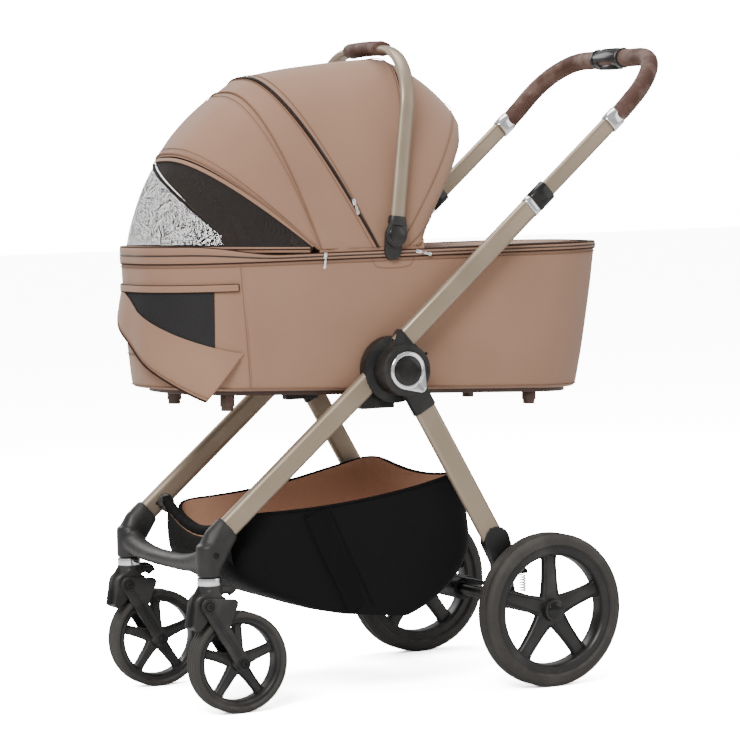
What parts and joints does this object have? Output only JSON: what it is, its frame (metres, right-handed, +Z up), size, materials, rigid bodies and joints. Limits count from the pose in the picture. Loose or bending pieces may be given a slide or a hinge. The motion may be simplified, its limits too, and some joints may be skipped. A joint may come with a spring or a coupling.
{
  "type": "pet stroller",
  "caption": "Folding pet stroller with lift-off fabric carrycot, fan-fold hood, telescoping handle, under-basket and swivel front wheels.",
  "frame": {"origin": "on the ground under the centre of the stroller", "axes": "+Z up, the front (small swivel wheels) at -X and the handle at +X, Y along the wheel axles with the left side at -Y"},
  "size_m": [1.031, 0.568, 1.1819],
  "materials": {
    "frame_metal": "satin champagne coat",
    "black_plastic": "fine moulded grain",
    "rim_plastic": "satin",
    "tyre": "matt",
    "chrome": "polished",
    "dark_metal": "satin black coat",
    "spring_steel": "drawn wire",
    "pedal_plastic": "satin",
    "leather": "stitched, semi-matt",
    "cot_fabric": "smooth woven, matt",
    "net": "open mesh",
    "basket_fabric": "woven, matt",
    "lining": "soft woven",
    "base_board": "satin"
  },
  "bodies": {
    "chassis": {"front_leg_left": "frame_metal", "front_leg_right": "frame_metal", "front_crossbar": "black_plastic", "hub_plates": "black_plastic", "seat_adapters": "black_plastic", "basket": "basket_fabric", "basket_rail": "basket_fabric"},
    "handle_lower": {"handle_hubs": "black_plastic", "handle_tubes": "frame_metal", "handle_collars": "black_plastic", "collar_rings": "chrome"},
    "handle_upper": {"upper_tubes": "frame_metal", "grip_ferrules": "chrome", "grip": "leather", "grip_housing": "black_plastic"},
    "fold_button": {"grip_trigger": "pedal_plastic"},
    "rear_frame": {"rear_leg_left": "frame_metal", "rear_leg_right": "frame_metal", "hub_covers": "black_plastic", "hub_trims": "chrome", "hub_discs": "black_plastic", "rear_sockets": "black_plastic", "rear_crossbar": "dark_metal", "brake_rod": "dark_metal", "brake_housing": "black_plastic"},
    "brake_lever": {"brake_pedal": "pedal_plastic"},
    "carrycot": {"cot_tub": "cot_fabric", "cot_rim": "cot_fabric", "cot_base": "base_board", "cot_feet": "base_board", "cot_mattress": "lining", "cot_flap": "cot_fabric", "hinge_bases": "black_plastic", "hood_rear": "cot_fabric"},
    "apron": {"cot_apron": "cot_fabric"},
    "carry_handle": {"carry_arch": "frame_metal", "arch_pad": "leather", "hinge_buttons": "black_plastic", "hood_main": "cot_fabric"},
    "hood_middle": {"hood_bow": "black_plastic"},
    "hood_front": {"hood_visor": "cot_fabric", "hood_net": "net"},
    "caster_left": {"swivel_stem_left": "chrome", "caster_housing_left": "black_plastic"},
    "fork_left": {"caster_fork_left": "black_plastic"},
    "front_wheel_left": {"front_rim_left": "rim_plastic", "front_tyre_left": "tyre"},
    "rear_arm_left": {"rear_arm_left": "black_plastic", "rear_spring_left": "spring_steel"},
    "rear_wheel_left": {"rear_rim_left": "rim_plastic", "rear_tyre_left": "tyre"},
    "caster_right": {"swivel_stem_right": "chrome", "caster_housing_right": "black_plastic"},
    "fork_right": {"caster_fork_right": "black_plastic"},
    "front_wheel_right": {"front_rim_right": "rim_plastic", "front_tyre_right": "tyre"},
    "rear_arm_right": {"rear_arm_right": "black_plastic", "rear_spring_right": "spring_steel"},
    "rear_wheel_right": {"rear_rim_right": "rim_plastic", "rear_tyre_right": "tyre"}
  },
  "joints": [
    {"name": "handle_fold", "type": "hinge", "parent": "chassis", "child": "handle_lower", "pos_m": [-0.0835, 0, 0.588], "axis": [0, -1, 0], "range_deg": [0, 155]},
    {"name": "rear_frame_fold", "type": "hinge", "parent": "chassis", "child": "rear_frame", "pos_m": [-0.0835, 0, 0.588], "axis": [0, 1, 0], "range_deg": [0, 50]},
    {"name": "handle_height", "type": "slide", "parent": "handle_lower", "child": "handle_upper", "axis": [0.757, 0, 0.6534], "range_m": [-0.12, 0]},
    {"name": "fold_trigger", "type": "slide", "parent": "handle_upper", "child": "fold_button", "axis": [0, 0, 1], "range_m": [0, 0.005], "stiffness_N_per_m": 400, "springref_m": -0.004},
    {"name": "brake_press", "type": "hinge", "parent": "rear_frame", "child": "brake_lever", "pos_m": [0.1485, 0, 0.16], "axis": [0, 1, 0], "range_deg": [0, 12]},
    {"name": "cot_lift_off", "type": "slide", "parent": "chassis", "child": "carrycot", "axis": [0, 0, 1], "range_m": [0, 0.3]},
    {"name": "apron_open", "type": "hinge", "parent": "carrycot", "child": "apron", "pos_m": [0.3935, 0, 0.802], "axis": [0, 1, 0], "range_deg": [0, 85]},
    {"name": "carry_handle_tilt", "type": "hinge", "parent": "carrycot", "child": "carry_handle", "pos_m": [-0.0725, 0, 0.828], "axis": [0, 1, 0], "range_deg": [0, 60], "deforming": ["hood_rear"]},
    {"name": "hood_middle_fold", "type": "hinge", "parent": "carry_handle", "child": "hood_middle", "pos_m": [-0.0725, 0, 0.828], "axis": [0, 1, 0], "range_deg": [0, 30], "deforming": ["hood_main"]},
    {"name": "hood_front_fold", "type": "hinge", "parent": "hood_middle", "child": "hood_front", "pos_m": [-0.0725, 0, 0.828], "axis": [0, 1, 0], "range_deg": [0, 24], "deforming": ["hood_visor", "hood_net"]},
    {"name": "swivel_left", "type": "hinge", "parent": "chassis", "child": "caster_left", "pos_m": [-0.4555, -0.182, 0.236], "axis": [0, 0, 1], "continuous": true},
    {"name": "front_spring_left", "type": "hinge", "parent": "caster_left", "child": "fork_left", "pos_m": [-0.4695, -0.182, 0.196], "axis": [0, -1, 0], "range_deg": [0, 5], "stiffness_Nm_per_rad": 40, "springref_deg": -6.88},
    {"name": "front_roll_left", "type": "hinge", "parent": "fork_left", "child": "front_wheel_left", "pos_m": [-0.4065, -0.182, 0.09], "axis": [0, 1, 0], "continuous": true},
    {"name": "rear_spring_left", "type": "hinge", "parent": "rear_frame", "child": "rear_arm_left", "pos_m": [0.1215, -0.224, 0.16], "axis": [0, -1, 0], "range_deg": [0, 6], "stiffness_Nm_per_rad": 60, "springref_deg": -6.88, "deforming": ["rear_spring_left"]},
    {"name": "rear_roll_left", "type": "hinge", "parent": "rear_arm_left", "child": "rear_wheel_left", "pos_m": [0.1835, -0.2595, 0.14], "axis": [0, 1, 0], "continuous": true},
    {"name": "swivel_right", "type": "hinge", "parent": "chassis", "child": "caster_right", "pos_m": [-0.4555, 0.182, 0.236], "axis": [0, 0, 1], "continuous": true},
    {"name": "front_spring_right", "type": "hinge", "parent": "caster_right", "child": "fork_right", "pos_m": [-0.4695, 0.182, 0.196], "axis": [0, -1, 0], "range_deg": [0, 5], "stiffness_Nm_per_rad": 40, "springref_deg": -6.88},
    {"name": "front_roll_right", "type": "hinge", "parent": "fork_right", "child": "front_wheel_right", "pos_m": [-0.4065, 0.182, 0.09], "axis": [0, 1, 0], "continuous": true},
    {"name": "rear_spring_right", "type": "hinge", "parent": "rear_frame", "child": "rear_arm_right", "pos_m": [0.1215, 0.224, 0.16], "axis": [0, -1, 0], "range_deg": [0, 6], "stiffness_Nm_per_rad": 60, "springref_deg": -6.88, "deforming": ["rear_spring_right"]},
    {"name": "rear_roll_right", "type": "hinge", "parent": "rear_arm_right", "child": "rear_wheel_right", "pos_m": [0.1835, 0.2595, 0.14], "axis": [0, 1, 0], "continuous": true}
  ],
  "couplings": [
    {"joint": "rear_frame_fold", "follows": "handle_fold", "ratio": 0.32258},
    {"joint": "hood_front_fold", "follows": "hood_middle_fold", "ratio": 0.8}
  ]
}
